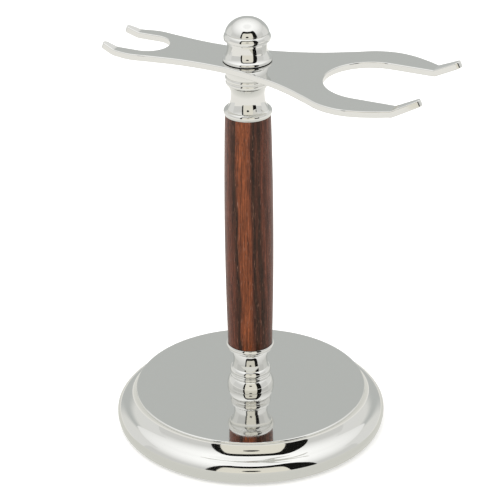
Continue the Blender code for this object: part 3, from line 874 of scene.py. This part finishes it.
def plated_material(name, colour, lines_per_mm, tarnish, tarnish_share, roughness):
    """Machined metal: tool marks round the piece and patches of tarnish."""
    material, tree, shader = new_material(name)
    marks = place_group(tree, "Lathe marks", {"Lines per mm": lines_per_mm, "Variation": 0.16})
    mottle = place_group(tree, "Mottle", {"Grain mm": 0.4, "Patch mm": 4.0, "Contrast": 1.7})
    share = maths(tree, "MULTIPLY", mottle.outputs["Patches"], tarnish_share)
    tree.links.new(blend(tree, share, colour, tarnish), shader.inputs["Base Color"])
    shader.inputs["Metallic"].default_value = 1.0
    dulled = maths(tree, "MULTIPLY_ADD", share, 0.25, roughness)
    tree.links.new(maths(tree, "ADD", marks.outputs["Roughness"], dulled), shader.inputs["Roughness"])
    bump(tree, shader, marks.outputs["Height"], 0.000006)
    return material


def nylon_material(finishes):
    """Moulded black nylon, slightly waxy."""
    material, tree, shader = new_material("nylon")
    mottle = place_group(tree, "Mottle", {"Grain mm": 0.12, "Patch mm": 5.0, "Contrast": 1.2})
    grain = mottle.outputs["Grain"]
    colour = blend(tree, mottle.outputs["Patches"], finishes.nylon, scaled(finishes.nylon, 2.2))
    tree.links.new(colour, shader.inputs["Base Color"])
    tree.links.new(maths(tree, "MULTIPLY_ADD", grain, 0.25, 0.35), shader.inputs["Roughness"])
    bump(tree, shader, grain, 0.00001)
    return material


# ---------------------------------------------------------------------------------------------
# Operators: one for each piece or group of like pieces
# ---------------------------------------------------------------------------------------------

class BuildBaseShell(bpy.types.Operator):
    """Build the plated shell of the base"""
    bl_idname = "razor_stand.base_shell"
    bl_label = "Base shell"

    def execute(self, context):
        sizes = context.scene.razor_stand_sizes
        material = chrome_material("chrome_base", 7.0, context.scene.razor_stand_finishes)
        shape = turned_mesh(base_shell_profile(), True, sizes.facets, sizes.corner_round / MM)
        new_piece("base_shell_plated", shape, material, "stand", "base_shell")
        return {"FINISHED"}


class BuildBaseFilling(bpy.types.Operator):
    """Build the cast weight in the base and the felt pad under it"""
    bl_idname = "razor_stand.base_filling"
    bl_label = "Base weight and pad"

    def execute(self, context):
        sizes = context.scene.razor_stand_sizes
        finishes = context.scene.razor_stand_finishes
        top, bottom = high("base_weight").z, low("base_weight").z
        outer = high("base_weight").x
        shoulder = (1.4, 10.0)              # how far the top edge stands in, and where that starts
        pocket, pocket_top = 8.5, high("flat_washer").z + GAP
        draft = 0.8
        rows = 14
        profile = spread((ROD_HOLE, top), (outer - shoulder[0], top), rows)
        profile += [(outer, shoulder[1]), (outer, bottom + draft)]
        profile += spread((outer - draft, bottom), (pocket, bottom), rows)
        profile += [(pocket, pocket_top), (ROD_HOLE, pocket_top)]
        middle = 6.0

        def cast(angle, radius, height):
            """Sand-cast skin: dents inwards, never outside the mould's size."""
            point = Vector((radius * math.cos(angle), radius * math.sin(angle), height))
            dent = 0.06 * (0.5 + 0.5 * noise.noise(point * 0.8)) + 0.03 * abs(noise.noise(point * 2.3))
            inward = -1.0 if height > middle else 1.0
            return radius - dent, height + inward * dent

        shape = turned_mesh(profile, True, sizes.facets, 0.5, cast)
        iron = iron_material(finishes)
        new_piece("base_weight_cast", shape, iron, "stand", "base_weight")

        pad_top = high("base_pad").z
        pad_radius = high("base_pad").x
        rings = 46
        profile = spread((0.0, pad_top), (pad_radius, pad_top), rings) + [(pad_radius, 0.5 * pad_top)]
        profile += spread((pad_radius, 0.0), (0.0, 0.0), rings)

        def pressed(angle, radius, height):
            """Matted felt: small hollows underneath and a slightly ragged rim."""
            point = Vector((radius * math.cos(angle), radius * math.sin(angle), height))
            rag = 0.10 * abs(noise.noise(point * 3.1)) if radius > pad_radius - 0.3 else 0.0
            hollow = 0.07 * abs(noise.noise(point * 1.7)) if height < 0.5 * pad_top else 0.0
            return radius - rag, height + hollow

        shape = turned_mesh(profile, False, sizes.facets, 0.35, pressed)
        new_piece("base_pad_felt", shape, felt_material(finishes), "stand", "base_pad")
        return {"FINISHED"}


class BuildRod(bpy.types.Operator):
    """Build the threaded rod with its nut and washers"""
    bl_idname = "razor_stand.rod"
    bl_label = "Threaded rod and fasteners"

    def execute(self, context):
        sizes = context.scene.razor_stand_sizes
        finishes = context.scene.razor_stand_finishes
        steel = plated_material("zinc_plated_steel", finishes.steel, 5.0, (0.42, 0.40, 0.35), 0.5, 0.2)
        pitch = sizes.thread_pitch / MM
        depth = sizes.thread_depth / MM

        def crest(angle, height):
            """1 on the crest of the thread and 0 in its root."""
            phase = (height / pitch - angle / math.tau) % 1.0
            return min(max((abs(2.0 * phase - 1.0) - 0.22) / 0.62, 0.0), 1.0)

        top, bottom, radius = high("tie_rod").z, low("tie_rod").z, high("tie_rod").x
        upper_thread, lower_thread = 126.0, 12.0    # where the thread ends on the way to the middle
        plain_relief = 0.02
        chamfer = 0.8
        step = pitch / 14.0
        upper_rows = int((top - chamfer - upper_thread) / step)
        lower_rows = int((lower_thread - bottom - chamfer) / step)
        heights = [top - chamfer - step * i for i in range(upper_rows)]
        heights += [upper_thread, lower_thread]
        heights += [lower_thread - step * i for i in range(1, lower_rows)]
        profile = [(0.0, top), (radius - chamfer, top)] + [(radius, z) for z in heights]
        profile += [(radius, bottom + chamfer), (radius - chamfer, bottom), (0.0, bottom)]

        def threaded(angle, r, z):
            """Cut the thread into the rod's two ends."""
            if lower_thread <= z <= upper_thread:
                return r - plain_relief, z
            return min(r, radius - depth * (1.0 - crest(angle, z))), z

        shape = turned_mesh(profile, False, 72, 0.02, threaded)
        new_piece("tie_rod_threaded", shape, steel, "stand", "tie_rod")

        top, bottom = high("rod_nut").z, low("rod_nut").z
        flats = 10.0
        corner = flats / math.sqrt(3.0)
        bore = 3.3
        face_edge = flats / 2.0 - 0.35
        profile = [(face_edge, top)] + spread((corner, top), (corner, bottom), 18)
        profile += [(face_edge, bottom)] + spread((bore, bottom), (bore, top), 40)

        def hexagonal(angle, r, z):
            """Six flats, the corners cut back at both ends, and a thread in the bore."""
            if r < bore + 0.01:
                return r - 0.25 * crest(angle, z), z
            flat = 0.5 * flats / math.cos((angle % (math.pi / 3.0)) - math.pi / 6.0)
            from_end = min(top - z, z - bottom)
            return min(r, flat, flats / 2.0 - 0.1 + 1.7 * from_end), z

        shape = turned_mesh(profile, True, SMALL_FACETS, 0.08, hexagonal)
        new_piece("rod_nut_thin", shape, steel, "stand", "rod_nut")

        top, bottom = high("spring_washer").z, low("spring_washer").z
        outer, inner = 5.9, ROD_HOLE
        section = rounded(ring_profile(outer, inner, bottom, top), 0.25, True)
        half_slit = 0.13
        lean = 0.16
        middle = 0.5 * (top + bottom)
        turns = SMALL_FACETS
        verts = []
        for k in range(turns + 1):
            for r, z in section:
                slope = lean * (z - middle)
                angle = half_slit + slope + (math.tau - 2.0 * half_slit) * k / turns
                verts.append((r * math.cos(angle) * MM, r * math.sin(angle) * MM, z * MM))
        size = len(section)
        faces = [
            (k * size + i, k * size + (i + 1) % size, (k + 1) * size + (i + 1) % size, (k + 1) * size + i)
            for k in range(turns) for i in range(size)
        ]
        faces += [tuple(reversed(range(size))), tuple(range(turns * size, (turns + 1) * size))]
        new_piece("spring_washer_split", (verts, faces), steel, "stand", "spring_washer")

        top, bottom = high("flat_washer").z, low("flat_washer").z
        profile = ring_profile(high("flat_washer").x, ROD_HOLE, bottom, top)
        shape = turned_mesh(profile, True, SMALL_FACETS, 0.18)
        new_piece("flat_washer_plated", shape, steel, "stand", "flat_washer")
        return {"FINISHED"}


class BuildCouplers(bpy.types.Operator):
    """Build the turned couplers above and below the wood"""
    bl_idname = "razor_stand.couplers"
    bl_label = "Couplers"

    def execute(self, context):
        sizes = context.scene.razor_stand_sizes
        material = chrome_material("chrome_coupler", 9.0, context.scene.razor_stand_finishes)
        for name, profile, node in (
            ("lower_coupler_turned", lower_coupler_profile(), "lower_coupler"),
            ("upper_coupler_turned", upper_coupler_profile(), "upper_coupler"),
        ):
            shape = turned_mesh(profile, True, sizes.facets, sizes.corner_round / MM)
            new_piece(name, shape, material, "stand", node)
        return {"FINISHED"}


class BuildColumn(bpy.types.Operator):
    """Build the wood column and the brass tube inside it"""
    bl_idname = "razor_stand.column"
    bl_label = "Wood column"

    def execute(self, context):
        sizes = context.scene.razor_stand_sizes
        finishes = context.scene.razor_stand_finishes
        wood = rosewood_material(finishes, context.scene.razor_stand_studio.azimuth)
        end_radius = sizes.wood_end_radius / MM
        bottom, top = COLUMN_BOTTOM + JOINT_GAP, COLUMN_TOP - JOINT_GAP
        middle = (end_radius + sizes.wood_swell / MM, 0.5 * (bottom + top))
        bore = 6.0
        profile = [(bore, top)] + arc_through((end_radius, top), middle, (end_radius, bottom), 60)
        profile += [(bore, bottom)]
        shape = turned_mesh(profile, True, sizes.facets, 0.16)
        new_piece("wood_column_turned", shape, wood, "stand", "wood_column")
        brass = plated_material("brass_tube", finishes.brass, 4.0, (0.30, 0.17, 0.07), 0.6, 0.22)
        tube_bore = 4.9
        tube = ring_profile(high("column_tube").x, tube_bore, low("column_tube").z, high("column_tube").z)
        shape = turned_mesh(tube, True, SMALL_FACETS, 0.15)
        new_piece("column_tube_drawn", shape, brass, "stand", "column_tube")
        return {"FINISHED"}


class BuildFork(bpy.types.Operator):
    """Build the forked plate that holds the brush and the razor"""
    bl_idname = "razor_stand.fork"
    bl_label = "Fork"

    def execute(self, context):
        sizes = context.scene.razor_stand_sizes
        material = chrome_material("chrome_fork", 5.0, context.scene.razor_stand_finishes)
        mesh = fork_mesh(sizes.fork_round / MM)
        mesh.name = "fork_plated"
        add_piece(mesh, material, "fork", "fork_plate")
        return {"FINISHED"}


class BuildFinial(bpy.types.Operator):
    """Build the finial with its threaded bush and washer"""
    bl_idname = "razor_stand.finial"
    bl_label = "Finial"

    def execute(self, context):
        sizes = context.scene.razor_stand_sizes
        finishes = context.scene.razor_stand_finishes
        chrome = chrome_material("chrome_finial", 9.0, finishes)
        shape = turned_mesh(finial_cap_profile(), False, sizes.facets, sizes.corner_round / MM)
        new_piece("finial_cap_turned", shape, chrome, "finial", "finial_cap")

        brass = plated_material("brass_bush", finishes.brass, 6.0, (0.33, 0.19, 0.08), 0.5, 0.2)
        top, bottom = high("finial_insert").z, low("finial_insert").z
        outer, bore = high("finial_insert").x, 3.3
        groove = 0.4
        groove_bottom = bottom + 0.4 * (top - bottom)
        groove_top = bottom + 0.6 * (top - bottom)
        rows = 24
        profile = [(bore, top), (outer - groove, top)]
        profile += spread((outer, top - groove), (outer, groove_top), rows)
        profile += [(outer - groove, groove_top - groove), (outer - groove, groove_bottom + groove)]
        profile += spread((outer, groove_bottom), (outer, bottom + groove), rows)
        profile += [(outer - groove, bottom), (bore, bottom)]
        teeth = 36

        def knurled(angle, radius, height):
            """Diamond knurl on the two gripping bands."""
            if radius < outer - 0.01:
                return radius, height
            lead = 2.2 * height
            first = abs(math.sin(0.5 * (teeth * angle + lead)))
            second = abs(math.sin(0.5 * (teeth * angle - lead)))
            return radius - 0.16 * (1.0 - min(first, second)), height

        shape = turned_mesh(profile, True, 216, 0.06, knurled)
        new_piece("finial_bush_knurled", shape, brass, "finial", "finial_insert")

        outer, top = high("finial_washer").x, high("finial_washer").z
        washer = ring_profile(outer, ROD_HOLE, PLATE_TOP + JOINT_GAP, top)
        shape = turned_mesh(washer, True, 144, 0.1)
        nylon = nylon_material(finishes)
        new_piece("finial_washer_nylon", shape, nylon, "clamp_washer", "finial_washer")
        return {"FINISHED"}


# ---------------------------------------------------------------------------------------------
# Studio
# ---------------------------------------------------------------------------------------------

STUDIO_CENTRE = Vector((0.0, 0.0, 0.05))    # what the cards are bent round
TARGET = Vector((0.000224, 0.000108, 0.06728))      # what the camera looks at
FLOOR_REACH = 3.0
FLOOR_COLOUR = (0.93, 0.925, 0.915)
FLOOR_FILL = 0.20                           # light the floor gives off, which softens the shadow

# What polished pieces see of the surroundings
HORIZON = (0.72, 0.72, 0.70)
OVERHEAD = (1.22, 1.22, 1.21)
ZENITH = (1.10, 1.10, 1.09)
BLACK = (0.008, 0.008, 0.007)
DAYLIGHT = 1.22                             # strength of the plain white light all round
WALL_RADIUS = 0.5
WALL_HEIGHT = 0.394
WALL_REACH = math.radians(88.0)             # to each side of the middle of the wall
WALL_SIDES = (0.82, 0.82, 0.79)
WALL_ENDS = (0.82, 0.82, 0.80)

# Cards in front: left, right, bottom, top and corner in degrees, seen from the stand
FRONT_CARD = (-28.0, 31.0, -6.0, 50.0, 7.0)
FRONT_CARD_DISTANCE = 0.90
FRONT_FRAME = (-36.5, 53.0, -6.0, 63.3, 10.0)
FRONT_FRAME_DISTANCE = 0.93
FRONT_FRAME_LEAN = (50.0, 0.03)             # above this elevation, metres nearer for each degree
LENS_RADII = (0.095, 0.065)                 # of the dark shape round the camera

SOFT_LIGHT_SIZE = 0.9
SOFT_LIGHT_WATTS = 2.0
SOFT_LIGHT_TURN = math.radians(-50.0)       # from the camera, round the stand
SOFT_LIGHT_ELEVATION = math.radians(60.0)
SOFT_LIGHT_DISTANCE = 1.2


def direction(azimuth, elevation):
    """Unit vector from the stand towards a place in the studio."""
    flat = math.cos(elevation)
    return Vector((math.sin(azimuth) * flat, -math.cos(azimuth) * flat, math.sin(elevation)))


def studio_material(name, surface):
    """A material for the studio. surface(tree) adds its nodes and gives the shader's socket."""
    material = bpy.data.materials.new(name)
    material.use_nodes = True
    tree = material.node_tree
    tree.nodes.clear()
    add_node(tree, "ShaderNodeOutputMaterial", links={"Surface": surface(tree)})
    return material


def glow_material(name, colour):
    """A plain glowing surface, for the cards that polished pieces reflect."""
    return studio_material(
        name, lambda tree: add_node(tree, "ShaderNodeEmission", {"Color": (*colour, 1.0)}).outputs[0])


def by_ray(tree, plain, mirrored):
    """Show one shader in reflections on polished pieces, and another everywhere else."""
    ray = tree.nodes.new("ShaderNodeLightPath").outputs["Is Glossy Ray"]
    mix = add_node(tree, "ShaderNodeMixShader", links={0: ray, 1: plain.outputs[0], 2: mirrored.outputs[0]})
    return mix.outputs[0]


def stage_object(name, mesh, material):
    """Link a mesh as a part of the studio."""
    mesh.materials.append(material)
    obj = bpy.data.objects.new(name, mesh)
    bpy.context.scene.collection.objects.link(obj)
    return obj


def reflected_only(obj):
    """Let a card show in reflections and nowhere else."""
    obj.visible_camera = False
    obj.visible_diffuse = False
    obj.visible_transmission = False
    obj.visible_volume_scatter = False
    obj.visible_shadow = False


def card_outline(left, right, bottom, top, corner):
    """Rounded rectangle in degrees of azimuth and elevation."""
    points = []
    for cx, cy, start in (
        (right - corner, top - corner, 0.0), (left + corner, top - corner, 90.0),
        (left + corner, bottom + corner, 180.0), (right - corner, bottom + corner, 270.0),
    ):
        points += ellipse_arc((cx, cy), (corner, corner), start, start + 90.0, 12)
    step = 3.0
    dense = []
    for start, end in zip(points, points[1:] + points[:1]):
        dense += spread(start, end, max(1, math.ceil(math.dist(start, end) / step)))[:-1]
    return dense


def curved_card(name, edges, distance, facing, colour, lean=(90.0, 0.0)):
    """A card bent round the stand. Its edges are in degrees, azimuth measured from facing.

    Above the elevation lean[0] the card comes nearer by lean[1] metres for each degree.
    """
    rings = 16
    outline = card_outline(*edges)
    count = len(outline)
    middle = [sum(point[i] for point in outline) / count for i in range(2)]
    shape = bmesh.new()

    def place(azimuth, elevation):
        """A vertex of the card at this azimuth and elevation."""
        away = direction(facing + math.radians(azimuth), math.radians(elevation))
        nearer = max(elevation - lean[0], 0.0) * lean[1]
        return shape.verts.new(STUDIO_CENTRE + away * (distance - nearer))

    centre = place(*middle)
    before = None
    for k in range(1, rings + 1):
        share = k / rings
        ring = [place(*(m + (p - m) * share for p, m in zip(point, middle))) for point in outline]
        for i in range(count):
            j = (i + 1) % count
            if before is None:
                shape.faces.new((centre, ring[i], ring[j]))
            else:
                shape.faces.new((before[i], ring[i], ring[j], before[j]))
        before = ring
    mesh = bpy.data.meshes.new(name)
    shape.to_mesh(mesh)
    shape.free()
    reflected_only(stage_object(name, mesh, glow_material(name, colour)))


def floor_material(table_near_shadowed, table_far):
    """Pale lit floor, which polished pieces see as a table with the stand's shadow painted on it close to
    the stand.
    """
    def surface(tree):
        """A lit matt floor for the camera, and glowing rings for polished pieces, painted darker near the
        stand as its shadow.
        """
        matt = add_node(tree, "ShaderNodeBsdfDiffuse", {"Color": (*FLOOR_COLOUR, 1.0)})
        fill = add_node(tree, "ShaderNodeEmission", {"Color": (1.0,) * 4, "Strength": FLOOR_FILL})
        lit = add_node(tree, "ShaderNodeAddShader", links={0: matt.outputs[0], 1: fill.outputs[0]})
        place = add_node(tree, "ShaderNodeTexCoord").outputs["Object"]
        distance = add_node(tree, "ShaderNodeVectorMath", links={0: place}, operation="LENGTH")
        # Painted shadow: reflections of the floor darken towards the stand's foot in place of its shadow.
        rings = [(0.055, table_near_shadowed), (0.090, between(table_near_shadowed, table_far, 0.25)), (0.220, table_far)]
        colour = ramp(tree, distance.outputs["Value"], rings)
        return by_ray(tree, lit, add_node(tree, "ShaderNodeEmission", links={"Color": colour}))

    return studio_material("floor", surface)


def wall_material(middle, facing):
    """Grey behind the stand, paler towards both ends of the wall."""
    def surface(tree):
        """Light that changes with how far round the wall a point is."""
        place = add_node(tree, "ShaderNodeTexCoord").outputs["Object"]
        axis = {1: direction(facing, 0.0)}
        along = add_node(tree, "ShaderNodeVectorMath", axis, {0: place}, operation="DOT_PRODUCT")
        ahead = maths(tree, "DIVIDE", along.outputs["Value"], WALL_RADIUS)
        stops = [(0.30, WALL_ENDS), (0.62, WALL_SIDES), (0.84, middle), (1.0, middle)]
        colour = ramp(tree, ahead, stops, "EASE")
        return add_node(tree, "ShaderNodeEmission", links={"Color": colour}).outputs[0]

    return studio_material("back_wall", surface)


def curved_wall(facing, material):
    """An upright wall bent round the stand's axis."""
    columns = 60
    foot = 0.001
    verts = []
    for i in range(columns + 1):
        place = direction(facing + WALL_REACH * (2.0 * i / columns - 1.0), 0.0) * WALL_RADIUS
        verts += [(place.x, place.y, foot), (place.x, place.y, WALL_HEIGHT)]
    faces = [(2 * i, 2 * i + 2, 2 * i + 3, 2 * i + 1) for i in range(columns)]
    mesh = bpy.data.meshes.new("back_wall")
    mesh.from_pydata(verts, [], faces)
    reflected_only(stage_object("back_wall", mesh, material))


def light_world(scene):
    """White surroundings. Polished pieces see them dimmer near the horizon and straight above."""
    world = bpy.data.worlds.new("studio")
    scene.world = world
    world.use_nodes = True
    tree = world.node_tree
    place = add_node(tree, "ShaderNodeTexCoord").outputs["Generated"]
    height = add_node(tree, "ShaderNodeSeparateXYZ", links={0: place}).outputs[2]
    colour = ramp(tree, height, [(0.40, HORIZON), (0.95, OVERHEAD), (0.985, ZENITH)])
    seen = add_node(tree, "ShaderNodeBackground", links={"Color": colour})
    plain = tree.nodes["Background"]
    plain.inputs["Color"].default_value = (1.0, 1.0, 1.0, 1.0)
    plain.inputs["Strength"].default_value = DAYLIGHT
    tree.links.new(by_ray(tree, plain, seen), tree.nodes["World Output"].inputs["Surface"])


def lay_floor(studio):
    """A wide flat floor under the stand."""
    reach = FLOOR_REACH
    corners = [(-reach, -reach, 0.0), (reach, -reach, 0.0), (reach, reach, 0.0), (-reach, reach, 0.0)]
    mesh = bpy.data.meshes.new("floor")
    mesh.from_pydata(corners, [], [(0, 1, 2, 3)])
    stage_object("floor", mesh, floor_material(studio.table_near_shadowed, studio.table_far))


def camera_place(studio):
    """Where the camera stands and how it is turned."""
    back = direction(studio.azimuth, studio.elevation)
    level = Vector((math.cos(studio.azimuth), math.sin(studio.azimuth), 0.0))
    upright = back.cross(level)
    cosine, sine = math.cos(studio.roll), math.sin(studio.roll)
    right, up = level * cosine + upright * sine, upright * cosine - level * sine
    turn = Matrix((right, up, back)).transposed().to_4x4()
    return Matrix.Translation(TARGET + back * studio.distance) @ turn


def set_camera(scene, studio):
    """The camera, and the dark shape round it that polished pieces reflect."""
    lens = bmesh.new()
    bmesh.ops.create_circle(lens, cap_ends=True, segments=48, radius=1.0)
    bmesh.ops.scale(lens, vec=(*LENS_RADII, 1.0), verts=lens.verts)
    mesh = bpy.data.meshes.new("camera_front")
    lens.to_mesh(mesh)
    lens.free()
    front = stage_object("camera_front", mesh, glow_material("camera_front", BLACK))
    reflected_only(front)
    camera_data = bpy.data.cameras.new("camera")
    camera_data.sensor_width = 36.0
    camera_data.lens = studio.focal_length
    camera_data.clip_start = 0.01
    camera_data.clip_end = 20.0
    camera = bpy.data.objects.new("camera", camera_data)
    scene.collection.objects.link(camera)
    camera.matrix_world = camera_place(studio)
    front.matrix_world = camera_place(studio)
    scene.camera = camera


def set_soft_light(scene, studio):
    """One wide lamp, which gives the stand its faint shadow."""
    lamp = bpy.data.lights.new("soft_light", "AREA")
    lamp.shape = "DISK"
    lamp.size = SOFT_LIGHT_SIZE
    lamp.energy = SOFT_LIGHT_WATTS
    light = bpy.data.objects.new("soft_light", lamp)
    scene.collection.objects.link(light)
    above = direction(studio.azimuth + SOFT_LIGHT_TURN, SOFT_LIGHT_ELEVATION)
    turn = above.to_track_quat("Z", "Y").to_matrix().to_4x4()
    light.matrix_world = Matrix.Translation(above * SOFT_LIGHT_DISTANCE) @ turn
    light.visible_glossy = False


class BuildStudio(bpy.types.Operator):
    """Set up the floor, soft light, reflector cards and camera"""
    bl_idname = "razor_stand.studio"
    bl_label = "Studio"

    def execute(self, context):
        scene = context.scene
        studio = scene.razor_stand_studio
        scene.view_settings.view_transform = "Standard"
        scene.view_settings.look = "None"
        light_world(scene)
        lay_floor(studio)
        front = studio.azimuth
        behind = front + math.pi
        curved_card("front_card", FRONT_CARD, FRONT_CARD_DISTANCE, front, studio.card_colour)
        curved_card("front_frame", FRONT_FRAME, FRONT_FRAME_DISTANCE, front, BLACK, FRONT_FRAME_LEAN)
        curved_wall(behind, wall_material(studio.wall_colour, behind))
        set_camera(scene, studio)
        set_soft_light(scene, studio)
        return {"FINISHED"}


# ---------------------------------------------------------------------------------------------
# Panel and registration
# ---------------------------------------------------------------------------------------------

BUILDERS = (
    BuildBaseShell, BuildBaseFilling, BuildRod, BuildCouplers, BuildColumn, BuildFork, BuildFinial,
    BuildStudio,
)


class RazorStandPanel(bpy.types.Panel):
    """Settings and builders of the razor stand"""
    bl_idname = "VIEW3D_PT_razor_stand"
    bl_label = "Razor stand"
    bl_space_type = "VIEW_3D"
    bl_region_type = "UI"
    bl_category = "Razor stand"

    def draw(self, context):
        scene = context.scene
        for settings in (scene.razor_stand_sizes, scene.razor_stand_finishes, scene.razor_stand_studio):
            box = self.layout.box()
            for key in settings.__annotations__:
                box.prop(settings, key)
        for builder in BUILDERS:
            self.layout.operator(builder.bl_idname)


CLASSES = (RazorStandSizes, RazorStandFinishes, RazorStandStudio, *BUILDERS, RazorStandPanel)


def register():
    for cls in CLASSES:
        bpy.utils.register_class(cls)
    bpy.types.Scene.razor_stand_sizes = PointerProperty(type=RazorStandSizes)
    bpy.types.Scene.razor_stand_finishes = PointerProperty(type=RazorStandFinishes)
    bpy.types.Scene.razor_stand_studio = PointerProperty(type=RazorStandStudio)


def unregister():
    del bpy.types.Scene.razor_stand_sizes
    del bpy.types.Scene.razor_stand_finishes
    del bpy.types.Scene.razor_stand_studio
    for cls in reversed(CLASSES):
        bpy.utils.unregister_class(cls)


def main():
    """Build every piece in order."""
    register()
    bpy.ops.razor_stand.base_shell()
    bpy.ops.razor_stand.base_filling()
    bpy.ops.razor_stand.rod()
    bpy.ops.razor_stand.couplers()
    bpy.ops.razor_stand.column()
    bpy.ops.razor_stand.fork()
    bpy.ops.razor_stand.finial()
    bpy.ops.razor_stand.studio()


if __name__ == "__main__":
    main()
